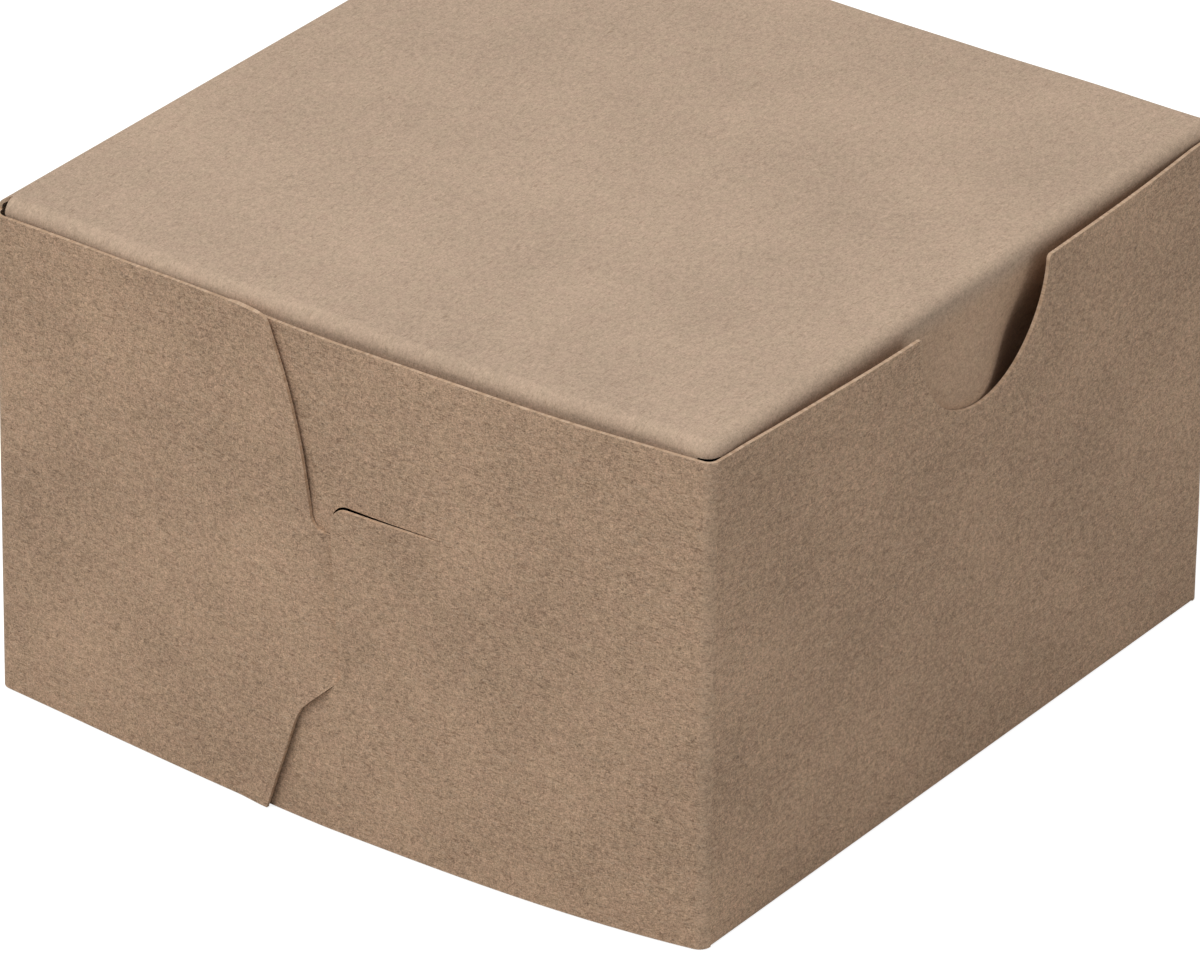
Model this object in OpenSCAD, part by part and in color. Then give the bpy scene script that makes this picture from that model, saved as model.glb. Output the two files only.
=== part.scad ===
// Bakery box folded from one sheet of kraft paperboard, with a hinged tuck lid.
// The front wall faces -Y, the lid hinges at the back, and the base rests on Z = 0.

/* [Box] */
// Width across the front, outside the folds
box_w = 104.8; // [85:0.1:150]
// Depth from front to back, outside the folds
box_d = 102.8; // [85:0.1:150]
// Height of the front wall
box_h = 63.5; // [60:0.1:90]
// Thickness of the paperboard
board = 0.5; // [0.35:0.05:0.7]
// Inner radius of the sharp folds
crease_r = 0.5; // [0.3:0.05:0.8]

/* [Bowed walls] */
// Outward bow of the front wall's free top edge
front_bow = 2; // [1:0.1:3]
// Outward bow of the front pair of corner flaps
side_bow = 2.3; // [1:0.1:3]
// Gap between layers of board that lie on each other
layer_gap = 0.08; // [0.05:0.01:0.15]

/* [Thumb notch] */
// Radius of the half-round notch in the front wall
notch_r = 13; // [8:0.5:16]
// Depth of the notch's centre below the top edge
notch_drop = 0.8; // [0:0.1:2]

/* [Side lock] */
// Height of the slit that the lock tab is cut by
slit_z = 42.7; // [38:0.1:46]
// Distance from the side's middle to the front end of the slit
slit_reach = 15.4; // [12:0.5:20]
// Width of the slit
slit_w = 0.12; // [0.08:0.01:0.3]
// Height of the lock tab's lower corner
tab_foot_z = 20; // [16:0.5:24]
// How far the tab's free edge lies in front of the side's middle
tab_edge = 0.6; // [0:0.1:2]
// How far the tab's free corner stands out
tab_lift = 0.55; // [0.1:0.05:0.8]
// Radius of the tab's free corner
tab_corner_r = 2; // [0.5:0.1:3]
// How far behind the side's middle the tongue starts to dip behind the tab
tongue_dip = 0.9; // [0.6:0.1:1.1]
// Radius of the seam's long curve
seam_r = 51; // [45:1:80]
// How far the seam's foot lies behind the side's middle
seam_foot = 2.65; // [2:0.05:4]
// Height at which the seam's curve is upright
seam_foot_z = 37.5; // [35:0.5:39]
// Fillet between the seam and the tongue
tongue_fillet = 2.6; // [2:0.1:3]
// Height of the tongue's upper edge
tongue_top_z = 38.8; // [37:0.1:40]
// How far the tongue reaches past the side's middle
tongue_reach = 12.5; // [8:0.5:14]
// How far the lower cut's knee lies behind the side's middle
knee_y = 4; // [3:0.1:6]
// Height of the lower cut's knee
knee_z = 14.6; // [12:0.1:15]
// How far the lower cut's foot lies behind the side's middle
cut_foot = 8.3; // [7:0.1:11]
// How far the front flap reaches behind the side's middle, under the back flap
under_reach = 15; // [13:0.5:20]
// How much higher the back flap stands at the seam
seam_rise = 0.7; // [0:0.1:1]

/* [Side panels] */
// Height of the side panels that fold up from the base
panel_h = 36; // [20:1:38]
// Radius of the side panels' upper corners
panel_corner_r = 4; // [1:0.5:8]
// How far the side panels' ends lie inside the corner folds
panel_inset = 2; // [1:0.5:6]

/* [Lid] */
// Radius outside the lid's soft folds
lid_fold_r = 1.9; // [1.5:0.1:2.2]
// Height of the lid's top face above the front wall
lid_rise = 1.5; // [1.3:0.1:2]
// Radius outside the hinge fold
hinge_r = 1.5; // [1.2:0.1:1.8]
// Gap between the lid's flaps and the walls
lid_gap = 0.3; // [0.2:0.05:0.5]
// Gap between the lid's front fold and the front wall
lid_front_gap = 0.4; // [0.3:0.05:0.6]
// Gap at the hinge crease
crease_gap = 0.1; // [0.05:0.01:0.2]
// Reach of the tuck flap below the lid's top face
tuck_h = 23; // [18:0.5:26]
// Radius of the tuck flap's lower corners
tuck_corner_r = 9; // [4:0.5:12]
// How far the tuck flap's ends lie inside the lid's sides
tuck_inset = 3; // [2:0.5:6]
// Reach of the dust flaps below the lid's top face
dust_h = 23; // [18:0.5:26]
// How far each dust flap's ends slope in towards its lower edge
dust_taper = 4; // [1:0.5:8]
// Radius of the dust flaps' lower corners
dust_corner_r = 5; // [2:0.5:8]
// How far the dust flaps' upper ends lie inside the lid's corners
dust_inset = 2; // [1:0.5:4]

/* [Hidden] */

eps = 0.01;
// Parts of one sheet that meet end to end are stepped by this, so no sliver is left.
step = 0.02;
// Parts that carry each other on overlap by this.
lap = 0.1;
fold_r = crease_r + board;
half_w = box_w / 2;
half_d = box_d / 2;
// The cut bottom edges of the corner flaps clear the table.
flap_foot = 0.3;
// Half width of the floor panel between its creases.
floor_half = half_w - board - layer_gap * 2;
// Straight run of a wall between its two corner folds.
front_half = half_w - fold_r;
side_half = half_d - fold_r;
back_bow = side_bow + board + layer_gap;
lid_half = half_w - board - lid_gap;
lid_top = box_h + lid_rise;
hinge_z = lid_top - hinge_r;
hinge_y = half_d - hinge_r;
hinge_leaf = hinge_r * sin(45);
axis_y = hinge_y + hinge_leaf;
axis_z = hinge_z + hinge_leaf;
lid_front = -(half_d - board - lid_front_gap);
lid_fold_z = lid_top - lid_fold_r;
kraft = [0.66, 0.55, 0.44];
kraft_light = [0.71, 0.61, 0.5];
smooth = 48;
arc_fn = 1440;

function arc_points(cx, cy, r, a0, a1, n) =
    [for (i = [0:n]) let (a = a0 + (a1 - a0) * i / n) [cx + r * cos(a), cy + r * sin(a)]];

// A quarter of a fold, from +X (0 degrees) towards +Y, in plan.
module fold_section(r_out, a0 = 0, a1 = 90) {
    difference() {
        intersection() {
            circle(r_out, $fn = smooth);
            polygon(concat([[0, 0]], arc_points(0, 0, r_out * 2, a0, a1, 4)));
        }
        circle(r_out - board, $fn = smooth);
    }
}

// A fold that runs along X: its section lies in Y (rightwards) and Z (upwards).
module fold_along_x(x0, x1, y, z, r_out, a0, a1) {
    translate([x0, y, z])
        rotate([90, 0, 90])
            linear_extrude(x1 - x0) fold_section(r_out, a0, a1);
}

// A fold that runs along Y: its section lies in X and Z.
module fold_along_y(y0, y1, x, z, r_out, a0, a1) {
    translate([x, y1, z])
        rotate([90, 0, 0])
            linear_extrude(y1 - y0) fold_section(r_out, a0, a1);
}

module fold_upright(x, y, z0, z1, a0, a1) {
    translate([x, y, z0])
        linear_extrude(z1 - z0) fold_section(fold_r, a0, a1);
}

// Plan of a side sheet bowed outwards at -X; its ends meet the corner folds.
module bowed_plan(bow) {
    r = (side_half * side_half + bow * bow) / (2 * bow);
    intersection() {
        translate([step - half_w - bow + r, 0])
            difference() {
                circle(r, $fn = arc_fn);
                circle(r - board, $fn = arc_fn);
            }
        translate([-half_w - bow - 1, -side_half])
            square([bow + 2 + board, 2 * side_half]);
    }
}

// Cuts a side sheet to an outline given as points of Y and Z.
module cut_side(points) {
    translate([-half_w - back_bow - 5, 0, 0])
        rotate([90, 0, 90])
            linear_extrude(back_bow + 10) polygon(points);
}

// Outline of the front corner flap, with the tab's free corner left out.
function front_flap_outline() = concat(
    [[-side_half - eps, flap_foot], [under_reach, flap_foot]],
    arc_points(under_reach - under_r, tab_foot_z - under_r, under_r, 0, 90, 6),
    [[tongue_dip + slit_w, tab_foot_z], [tongue_dip + slit_w, dip_foot_z]],
    [[-tab_edge, tab_foot_z], [-slit_reach, slit_z], [-slit_reach, slit_z + slit_w]],
    arc_points(-tab_edge - tab_corner_r, slit_z - tab_corner_r, tab_corner_r + slit_w, 90, 0, 8),
    [[slit_w - tab_edge, neck_z], [under_reach, neck_z]],
    [[under_reach, side_top], [-side_half - eps, side_top]]);

// The side's edges stand a little below the front wall's.
side_top = box_h - 0.2;
under_r = 3;
// The part above the slit reaches down to here, just over the tongue.
neck_z = tongue_top_z + layer_gap * 2;
// The part below the slit gives way here to the tongue's dip.
dip_foot_z = knee_z + (tab_foot_z - knee_z) * (knee_y - tongue_dip - slit_w) / (knee_y + tab_edge) - slit_w;
// The tab's free corner bends along the line from the slit's end to its foot.
tab_run = slit_reach - tab_edge;
tab_tall = slit_z - tab_foot_z;
tab_bend = atan(tab_run / tab_tall);
tab_arm = tab_run * cos(tab_bend);
tab_tilt = asin(tab_lift / tab_arm);
// The tab's root overlaps the flap by this much, across the bend line.
tab_root = 0.8;
root_y = tab_root * cos(tab_bend);
root_z = tab_root * sin(tab_bend);

module lock_tab() {
    x_foot = -half_w - side_bow - step * 3;
    translate([x_foot, -tab_edge, tab_foot_z])
        rotate([tab_bend, 0, 0])
            rotate([0, 0, tab_tilt])
                rotate([-tab_bend, 0, 0])
                    rotate([90, 0, 90])
                        linear_extrude(board)
                            polygon(concat([[0, 0], [-root_y, -root_z]],
                                [[-tab_run - root_y, tab_tall - root_z], [-tab_run, tab_tall]],
                                arc_points(-tab_corner_r, tab_tall - tab_corner_r,
                                    tab_corner_r, 90, 0, 8)));
}

module front_flap() {
    intersection() {
        linear_extrude(box_h) bowed_plan(side_bow);
        cut_side(front_flap_outline());
    }
    lock_tab();
}

// The seam is an arc that is upright at its foot and leans back towards the top.
function seam_y(z) = seam_foot + seam_r - sqrt(pow(seam_r, 2) - pow(z - seam_foot_z, 2));
tongue_r = 4;
seam_low = tongue_top_z + tongue_fillet;
seam_top = box_h + seam_rise - 1;

function back_flap_outline() = concat(
    [[side_half + eps, flap_foot], [cut_foot, flap_foot], [knee_y, knee_z]],
    [[-tab_edge, tab_foot_z], [-tab_edge - 5, tab_foot_z + 5]],
    [[tongue_r - tongue_reach, tab_foot_z + 5]],
    arc_points(tongue_r - tongue_reach, tab_foot_z + tongue_r + 5, tongue_r, 270, 180, 5),
    arc_points(tongue_r - tongue_reach, tongue_top_z - tongue_r, tongue_r, 180, 90, 5),
    arc_points(seam_y(seam_low) - tongue_fillet, seam_low, tongue_fillet, 270, 360, 6),
    [for (i = [1:9]) let (z = seam_low + (seam_top - seam_low) * i / 9) [seam_y(z), z]],
    [[seam_y(seam_top) + 1, box_h + seam_rise], [side_half + eps, box_h - 0.1]]);

// Plan of the tongue: it dips behind the lock tab and then follows it.
module tongue_plan() {
    outer = -half_w - back_bow + step * 3;
    inner = -half_w - side_bow + board + layer_gap;
    dip_y = 0.3 - tab_edge;
    polygon([[outer, tongue_dip + eps], [inner, dip_y], [inner, -tongue_reach],
        [inner + board, -tongue_reach], [inner + board, dip_y], [outer + board, tongue_dip + eps]]);
}

module back_flap() {
    intersection() {
        linear_extrude(box_h + 2)
            union() {
                intersection() {
                    bowed_plan(back_bow);
                    translate([-half_w - back_bow - 2, tongue_dip])
                        square([back_bow + 4, side_half - tongue_dip]);
                }
                tongue_plan();
            }
        cut_side(back_flap_outline());
    }
}

module corner_folds() {
    fold_upright(-front_half, -side_half, flap_foot, side_top, 180, 270);
    fold_upright(-front_half, side_half, flap_foot, side_top, 90, 180);
}

// The base's side panel stands just inside the corner flaps.
module side_panel() {
    x = -floor_half;
    end = side_half - panel_inset - panel_corner_r;
    fold_along_y(-side_half, side_half, x + fold_r, fold_r, fold_r, 180, 270);
    translate([x, 0, 0])
        rotate([90, 0, 90])
            linear_extrude(board)
                polygon(concat([[-side_half, fold_r], [side_half, fold_r]],
                    arc_points(end, panel_h - panel_corner_r, panel_corner_r, 0, 90, 6),
                    arc_points(-end, panel_h - panel_corner_r, panel_corner_r, 90, 180, 6)));
}

// The front wall is straight at its fold and bowed along its free edge.
module front_wall() {
    n = 24;
    function wall_x(i) = front_half * (2 * i / n - 1);
    function bow(i) = front_bow * (1 - pow(2 * i / n - 1, 2));
    points = [for (i = [0:n]) each [
        [wall_x(i), -half_d, fold_r],
        [wall_x(i), -half_d + board, fold_r],
        [wall_x(i), -half_d - bow(i), box_h],
        [wall_x(i), -half_d - bow(i) + board, box_h]]];
    faces = concat(
        [[0, 1, 3], [0, 3, 2]],
        [[4 * n, 4 * n + 3, 4 * n + 1], [4 * n, 4 * n + 2, 4 * n + 3]],
        [for (i = [0:n - 1]) let (a = 4 * i, b = 4 * i + 4) each [
            [a, a + 2, b + 2], [a, b + 2, b],
            [a + 1, b + 1, b + 3], [a + 1, b + 3, a + 3],
            [a, b, b + 1], [a, b + 1, a + 1],
            [a + 2, a + 3, b + 3], [a + 2, b + 3, b + 2]]]);
    difference() {
        polyhedron(points, faces);
        translate([0, -half_d + 5, box_h - notch_drop])
            rotate([90, 0, 0]) cylinder(r = notch_r, h = front_bow + 10, $fn = 96);
        translate([-notch_r, -half_d - front_bow - 5, box_h - notch_drop])
            cube([2 * notch_r, front_bow + 10, notch_drop + 5]);
    }
}

module floor_and_back() {
    translate([-floor_half + fold_r, -side_half, 0])
        cube([2 * (floor_half - fold_r), 2 * side_half, board]);
    fold_along_x(-front_half, front_half, -side_half, fold_r, fold_r, 180, 270);
    fold_along_x(-front_half, front_half, side_half, fold_r, fold_r, 270, 360);
    translate([-front_half, half_d - board, fold_r])
        cube([2 * front_half, board, hinge_z - fold_r]);
    gap_angle = asin(crease_gap / 2 / (hinge_r - board));
    fold_along_x(-front_half, front_half, hinge_y, hinge_z, hinge_r, 0, 45 - gap_angle);
}

module box_body() color(kraft) {
    floor_and_back();
    front_wall();
    for (side = [0, 1]) mirror([side, 0, 0]) {
        corner_folds();
        side_panel();
        front_flap();
        back_flap();
    }
}

// The tuck flap's lower part bulges like the front wall, and swings clear of its edge.
function tuck_radius(x) =
    axis_y + half_d - board - lid_gap + front_bow * (1 - pow(x / front_half, 2));
function tuck_y(x, z) = let (
        swing = axis_y - sqrt(pow(tuck_radius(x), 2) - pow(axis_z - z, 2)),
        k = min(1, (lid_fold_z - z) / tuck_ease),
        ease = k * k * (3 - 2 * k))
    lid_front * (1 - ease) + swing * ease;
// The tuck flap eases into its bulge over this height.
tuck_ease = 8;
tuck_deep = tuck_h - lid_fold_r;
tuck_bend = tuck_corner_r / tuck_deep;
// Half width at v, from 0 at the fold to 1 at the free edge, with round lower corners.
function tuck_half(v) = lid_half - tuck_inset
    - tuck_corner_r * (1 - sqrt(max(0, 1 - pow(max(0, v - 1 + tuck_bend) / tuck_bend, 2))));

module tuck_flap() {
    cols = 20;
    rows = [0, 0.12, 0.25, 0.38, 0.5, 0.6, 0.7, 0.8, 0.9, 0.96, 1];
    m = len(rows);
    function at(i, j, off) = let (
            x = tuck_half(rows[j]) * (2 * i / cols - 1),
            z = lid_fold_z - tuck_deep * rows[j])
        [x, tuck_y(x, z) + off, z];
    points = [for (off = [0, board]) for (j = [0:m - 1]) for (i = [0:cols]) at(i, j, off)];
    w = cols + 1;
    back = m * w;
    faces = concat(
        [for (j = [0:m - 2]) for (i = [0:cols - 1]) let (a = j * w + i) each [
            [a, a + 1, a + w + 1], [a, a + w + 1, a + w],
            [back + a, back + a + w + 1, back + a + 1], [back + a, back + a + w, back + a + w + 1]]],
        [for (i = [0:cols - 1]) let (a = i, b = (m - 1) * w + i) each [
            [a, back + a, back + a + 1], [a, back + a + 1, a + 1],
            [b, b + 1, back + b + 1], [b, back + b + 1, back + b]]],
        [for (j = [0:m - 2]) let (a = j * w, b = j * w + cols) each [
            [a, a + w, back + a + w], [a, back + a + w, back + a],
            [b, back + b, back + b + w], [b, back + b + w, b + w]]]);
    polyhedron(points, faces);
}

// One dust flap, hanging inside the side wall at -X.
module dust_flap() {
    y0 = dust_inset - side_half;
    y1 = hinge_y - dust_inset;
    top_z = lid_fold_z + lap;
    low_z = lid_top - dust_h;
    r = dust_corner_r;
    translate([step - lid_half, 0, 0])
        rotate([90, 0, 90])
            linear_extrude(board)
                polygon(concat([[y0, top_z], [y1, top_z]],
                    arc_points(y1 - dust_taper - r, low_z + r, r, 0, -90, 6),
                    arc_points(y0 + dust_taper + r, low_z + r, r, 270, 180, 6)));
}

// The soft folds of the lid meet in a mitre at its front corners.
module lid_side_fold() {
    y_corner = lid_front + lid_fold_r;
    x_corner = -lid_half + lid_fold_r;
    difference() {
        fold_along_y(lid_front, hinge_y, x_corner, lid_fold_z, lid_fold_r, 90, 180);
        translate([x_corner, y_corner, lid_fold_z - 1])
            rotate([0, 0, 225]) cube([2 * lid_fold_r, 2 * lid_fold_r, lid_fold_r + 2]);
    }
}

module lid_front_fold() {
    y_corner = lid_front + lid_fold_r;
    x_corner = -lid_half + lid_fold_r;
    difference() {
        fold_along_x(-lid_half, lid_half, y_corner, lid_fold_z, lid_fold_r, 90, 180);
        for (side = [0, 1]) mirror([side, 0, 0])
            translate([x_corner, y_corner, lid_fold_z - 1])
                rotate([0, 0, 135]) cube([2 * lid_fold_r, 2 * lid_fold_r, lid_fold_r + 2]);
    }
}

module lid() color(kraft_light) {
    x_edge = lid_half - lid_fold_r;
    y_edge = lid_front + lid_fold_r;
    translate([-x_edge, y_edge, lid_top - board])
        cube([2 * x_edge, hinge_y - y_edge, board]);
    gap_angle = asin(crease_gap / 2 / (hinge_r - board));
    fold_along_x(-x_edge, x_edge, hinge_y, hinge_z, hinge_r, 45 + gap_angle, 90);
    lid_front_fold();
    tuck_flap();
    for (side = [0, 1]) mirror([side, 0, 0]) {
        lid_side_fold();
        dust_flap();
    }
}

box_body();
lid();
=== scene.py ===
import bpy
import numpy as np
from mathutils import Matrix, Vector


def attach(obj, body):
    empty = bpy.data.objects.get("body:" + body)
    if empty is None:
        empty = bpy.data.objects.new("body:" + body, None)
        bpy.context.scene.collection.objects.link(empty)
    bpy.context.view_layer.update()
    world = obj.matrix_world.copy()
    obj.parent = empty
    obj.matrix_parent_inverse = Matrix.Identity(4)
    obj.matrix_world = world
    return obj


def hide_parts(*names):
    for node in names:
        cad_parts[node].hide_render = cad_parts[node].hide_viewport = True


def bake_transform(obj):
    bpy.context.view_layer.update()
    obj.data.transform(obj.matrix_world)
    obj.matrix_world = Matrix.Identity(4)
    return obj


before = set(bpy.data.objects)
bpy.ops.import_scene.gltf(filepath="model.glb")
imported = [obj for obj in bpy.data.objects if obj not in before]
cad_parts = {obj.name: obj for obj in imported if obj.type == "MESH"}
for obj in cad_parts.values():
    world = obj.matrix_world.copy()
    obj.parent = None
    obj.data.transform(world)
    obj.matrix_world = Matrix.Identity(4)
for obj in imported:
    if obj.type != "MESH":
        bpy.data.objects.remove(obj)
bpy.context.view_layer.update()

# Bakery box: one sheet of kraft paperboard, folded, bowed and locked. Lengths are millimetres
# until a mesh is made. The front wall faces -Y, the hinge is at the back, the table is Z = 0.

box = {
    "halfWidth": 52.4,     # from the middle to a side wall's fold
    "halfDepth": 51.4,     # from the middle to the front or back wall's fold
    "floorEdge": 50.74,    # from the middle to the floor's side creases
    "wallTop": 63.5,       # front wall's upper edge
    "sideTop": 63.3,       # upper edge of the corner flaps
    "flapFoot": 0.15,      # lower edge of the corner flaps
    "thick": 0.45,         # paperboard
    "foldRadius": 0.55,    # outside of a base fold
    "cornerRadius": 1.6,   # outside of an upright fold
    "frontBow": 1.9,       # outward bow of the front wall's edge
    "leftBow": (3.3, 1.9),     # bow of the left side's front flap, at its foot and at its top
    "rightBow": (1.6, 0.45),   # the same of the right side, which stands straighter
    "layer": 0.62,         # from one sheet's face to the next one's
    "backSkew": (1.8, 1.0, 0.4),   # how much flatter a side runs at its back: amount, left and right share
    "flatStep": 0.6,       # how much shorter a base fold is in the flat sheet than round two edges
    "flatLid": 15.0,       # where the lid starts in the flat sheet, past three depths
}
halfWidth, halfDepth, thick = box["halfWidth"], box["halfDepth"], box["thick"]
foldRadius, cornerRadius = box["foldRadius"], box["cornerRadius"]
straightWidth, straightDepth = halfWidth - cornerRadius, halfDepth - cornerRadius   # between upright folds
floorDepth = halfDepth - foldRadius
backFlat, lidFlat = -2 * halfDepth, -3 * halfDepth - box["flatLid"]   # back wall and lid in the flat sheet
hinge = {"y": 49.9, "z": 63.5, "radius": 1.5, "halfWidth": 50.9, "bodyAngle": 65.0, "lidAngle": 25.0}


# Eased step: 3 s squared less 2 s cubed, for s held between 0 and 1.
def ease(s):
    s = np.clip(s, 0.0, 1.0)
    return s * s * (3 - 2 * s)


# Outward bow of a side's front flap at a height: even change from its foot to its top.
def sideBow(z, side):
    foot, top = box["leftBow"] if side < 0 else box["rightBow"]
    return foot + (top - foot) * np.asarray(z, float) / box["wallTop"]


# How much flatter a side runs behind its middle: the amount times that side's share.
def sideSkew(side):
    amount, left, right = box["backSkew"]
    return amount * (left if side < 0 else right)


# How far a side's inner layer stands out of the fold line, with t the share of the way to a corner.
# In front of the middle: the bow times one less the cube of t. Behind it: bow plus layer less
# skew times t, all times one less the square of t, less the layer.
def sideOut(y, z, side):
    t = y / straightDepth
    bow, layer = sideBow(z, side), box["layer"]
    skew = sideSkew(side)
    return np.where(t < 0, bow * (1 - np.abs(t) ** 3), (bow + layer - skew * t) * (1 - t * t) - layer)


waves = {
    "sines": [(0.05, 0.11, 0.0, 0.17, 0.6), (0.04, 0.0, 0.19, -0.13, 2.1),    # height, rates along X, Y
              (0.03, 0.23, -0.21, 0.0, 1.3), (0.02, 0.0, 0.29, 0.37, 0.4)],   # and Z, and start
    "hingeY": 46, "hingeRun": 8, "tableRun": 12,     # where they fade out towards the hinge and the table
}


# Gentle waves of the board: a sum of long sines in space, faded out near the hinge fold and the table.
def wave(p):
    x, y, z = p[:, 0], p[:, 1], p[:, 2]
    w = sum(size * np.sin(a * x + b * y + c * z + start) for size, a, b, c, start in waves["sines"])
    return w * ease((waves["hingeY"] - y) / waves["hingeRun"]) * ease(z / waves["tableRun"])


meshing = {
    "joins": 500, "shift": 0.1234567,     # points are joined on a grid of this many steps a millimetre
    "metre": 0.001, "sharp": 0.9,         # metres in a millimetre, and the least angle of a sharp edge
    "rimReach": 4.0, "batch": 4000000,    # how far the rim is measured, and how many pairs at a time
    "hangTop": 63.6, "hangRun": 3,        # height where a part counts as hanging below the lid's top
}
metre = meshing["metre"]


class Sheet:
    # Gathers grids of points that share their borders, then makes one mesh of them.
    def __init__(self, name):
        self.name, self.points, self.flat, self.fold, self.quads, self.count = name, [], [], [], [], 0

    # A grid joins the sheet; its quads face the way that 'outward' points.
    def add(self, x, y, z, u, v, outward, fold=0.0):
        x, y, z, u, v, fold = np.broadcast_arrays(x, y, z, u, v, fold)
        grid = np.stack([x, y, z], -1).astype(float)
        rows, cols = grid.shape[:2]
        index = np.arange(rows * cols).reshape(rows, cols) + self.count
        quads = np.stack([index[:-1, :-1], index[:-1, 1:], index[1:, 1:], index[1:, :-1]], -1)
        normal = np.cross(grid[1:, 1:] - grid[:-1, :-1], grid[1:, :-1] - grid[:-1, 1:]).sum((0, 1))
        if np.dot(normal, outward) < 0:
            quads = quads[..., ::-1]
        self.points.append(grid.reshape(-1, 3))
        self.flat.append(np.stack([u, v], -1).reshape(-1, 2).astype(float))
        self.fold.append(np.array(fold, float).ravel())
        self.quads.append(quads.reshape(-1, 4))
        self.count += rows * cols

    # Borders are joined where points agree, waves are added along the normals, and the sheet
    # gets its thickness inwards, with the cut rim in the second material.
    def make(self, body, materials, waves=True):
        points, flat = np.concatenate(self.points), np.concatenate(self.flat)
        fold, quads = np.concatenate(self.fold), np.concatenate(self.quads)
        keys = np.round(points * meshing["joins"] + meshing["shift"]).astype(np.int64)
        _, first, same = np.unique(keys, axis=0, return_index=True, return_inverse=True)
        quads = same.ravel()[quads]
        points, flat, fold = points[first], flat[first], fold[first]
        step = quads == np.roll(quads, -1, 1)
        full = quads[~step.any(1)]
        short = quads[step.sum(1) == 1]
        gone = np.argmax(short == np.roll(short, -1, 1), 1)
        short = short[np.arange(4)[None, :] != gone[:, None]].reshape(-1, 3)
        mesh = bpy.data.meshes.new(self.name)
        mesh.from_pydata(points * metre, [], full.tolist() + short.tolist())
        mesh.update()
        if waves:
            normals = np.empty(len(points) * 3)
            mesh.vertex_normals.foreach_get("vector", normals)
            points = points + normals.reshape(-1, 3) * wave(points)[:, None]
            mesh.vertices.foreach_set("co", (points * metre).ravel())
        corners = np.empty(len(mesh.loops), int)
        mesh.loops.foreach_get("vertex_index", corners)
        layer = mesh.uv_layers.new(name="flat")
        layer.uv.foreach_set("vector", (flat[corners] * metre).ravel())
        # hang is 0 on the lid's top and 1 below it; on the lid the material paints a paler sheen where it is
        # 0
        hang = ease((meshing["hangTop"] - points[:, 2]) / meshing["hangRun"])
        for name, values in (("fold", fold), ("hang", hang), ("rim", self.rimDistance(mesh, points))):
            mesh.attributes.new(name, "FLOAT", "POINT").data.foreach_set("value", values)
        piece = bpy.data.objects.new(self.name, mesh)
        bpy.context.collection.objects.link(piece)
        for material in materials:
            mesh.materials.append(material)
        solid = piece.modifiers.new("board", "SOLIDIFY")
        solid.thickness, solid.offset, solid.use_even_offset = thick * metre, -1.0, True
        solid.use_rim, solid.material_offset_rim = True, 1
        bpy.context.view_layer.update()
        done = piece.evaluated_get(bpy.context.evaluated_depsgraph_get())
        final = bpy.data.meshes.new_from_object(done)
        piece.modifiers.clear()
        piece.data = final
        final.name = self.name
        final.shade_smooth()
        final.set_sharp_from_angle(angle=meshing["sharp"])
        if body:
            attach(piece, body)
        print("made", self.name, len(final.polygons), "faces")
        return piece

    # Distance in millimetres from each point to the sheet's nearest cut edge, up to a limit.
    def rimDistance(self, mesh, points):
        pairs = np.empty(len(mesh.edges) * 2, int)
        mesh.edges.foreach_get("vertices", pairs)
        loops = np.empty(len(mesh.loops), int)
        mesh.loops.foreach_get("edge_index", loops)
        uses = np.bincount(loops, minlength=len(mesh.edges))
        ends = pairs.reshape(-1, 2)[uses == 1]
        marks = np.concatenate([points[ends[:, 0]], points[ends].mean(1)])
        near = np.full(len(points), meshing["rimReach"])
        batches = max(1, len(points) * len(marks) // meshing["batch"])
        for part in np.array_split(np.arange(len(points)), batches):
            gap = ((points[part][:, None, :] - marks[None, :, :]) ** 2).sum(-1).min(1)
            near[part] = np.minimum(near[part], np.sqrt(gap))
        return near


# Centre of a corner fold that touches two wall lines: where both lines, moved in by the radius, cross.
def cornerCentre(slopeSide, slopeEnd):
    a, b = np.asarray(slopeSide, float), np.asarray(slopeEnd, float)
    sideLine = -halfWidth + cornerRadius * np.sqrt(1 + a * a) - a * straightDepth
    endLine = -halfDepth + cornerRadius * np.sqrt(1 + b * b) - b * straightWidth
    det = 1 - a * b
    return (sideLine - a * endLine) / det, (endLine - b * sideLine) / det


# Front wall's bow at a height: it grows evenly from the base fold to the free edge.
def frontBow(z):
    return box["frontBow"] * np.clip((z - foldRadius) / (box["wallTop"] - foldRadius), 0, 2)


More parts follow.
